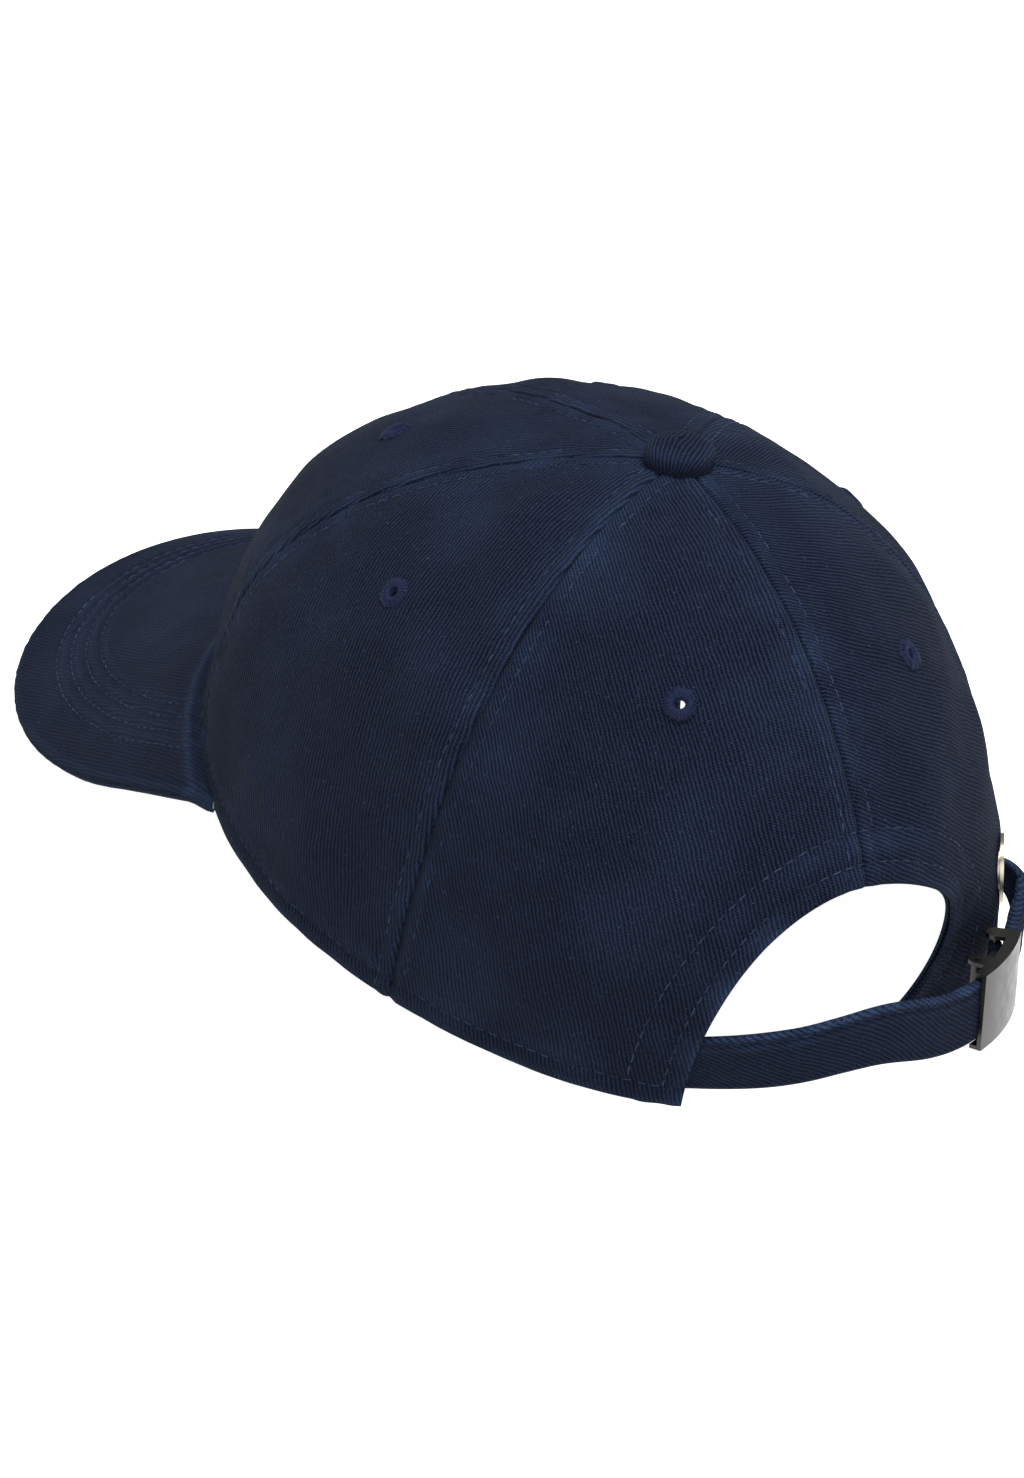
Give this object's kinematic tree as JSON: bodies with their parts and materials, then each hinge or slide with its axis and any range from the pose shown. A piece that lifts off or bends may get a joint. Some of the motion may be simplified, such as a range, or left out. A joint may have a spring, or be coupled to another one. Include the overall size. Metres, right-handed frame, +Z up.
{
  "type": "baseball cap",
  "caption": "Unstructured baseball cap in panels with a curved visor, covered top button, stitched vent eyelets, open back arch and an adjustable cloth strap with a clamp buckle.",
  "frame": {"origin": "bottom centre of the bounding box, on the surface the cap stands on", "axes": "+Z up, +Y towards the back strap, the visor points to -Y, +X towards the wearer's left"},
  "size_m": [0.16, 0.2813, 0.1182],
  "materials": {
    "crown_twill": "brushed and stonewashed navy cotton twill, matt",
    "visor_twill": "stonewashed navy cotton twill, matt, rows of stitching",
    "strap_twill": "folded and stitched navy cotton twill, faded edges",
    "lining_twill": "navy cotton twill facing, matt",
    "sweatband_cloth": "plain navy cotton, matt",
    "seam_tape": "navy cotton bias tape, matt",
    "eyelet_thread": "satin-stitched polyester thread, slight sheen",
    "visor_board": "moulded polyethylene board, sealed in the visor",
    "gunmetal": "gunmetal-plated pressed steel, satin",
    "nickel": "antique nickel plate, satin"
  },
  "bodies": {
    "cap": {"panel_front_left": "crown_twill", "panel_front_right": "crown_twill", "panel_side_left": "crown_twill", "panel_side_right": "crown_twill", "panel_rear_left": "crown_twill", "panel_rear_right": "crown_twill", "tape_front": "seam_tape", "tape_front_left": "seam_tape", "tape_front_right": "seam_tape", "tape_side_left": "seam_tape", "tape_side_right": "seam_tape", "tape_back": "seam_tape", "arch_facing": "lining_twill", "sweatband": "sweatband_cloth", "eyelet_front_left": "eyelet_thread", "eyelet_front_right": "eyelet_thread", "eyelet_side_left": "eyelet_thread", "eyelet_side_right": "eyelet_thread", "eyelet_rear_left": "eyelet_thread", "eyelet_rear_right": "eyelet_thread", "button_cover": "crown_twill", "button_shell": "nickel", "button_rivet": "nickel", "visor_top_cover": "visor_twill", "visor_board": "visor_board", "visor_under_cover": "visor_twill", "strap": "strap_twill", "grommet": "nickel", "grommet_washer": "nickel"},
    "buckle": {"buckle_plate": "gunmetal", "hinge_pin": "gunmetal", "buckle_tab": "strap_twill"},
    "lever": {"clamp_lever": "gunmetal"}
  },
  "joints": [
    {"name": "size_adjust", "type": "hinge", "parent": "cap", "child": "buckle", "pos_m": [-0.006, 0.08365, 0.0122], "axis": [0, 0, -1], "range_deg": [0, 15]},
    {"name": "lever_hinge", "type": "hinge", "parent": "buckle", "child": "lever", "pos_m": [-0.03482, 0.12837, 0.0122], "axis": [0, 0, 1], "range_deg": [0, 90]}
  ]
}
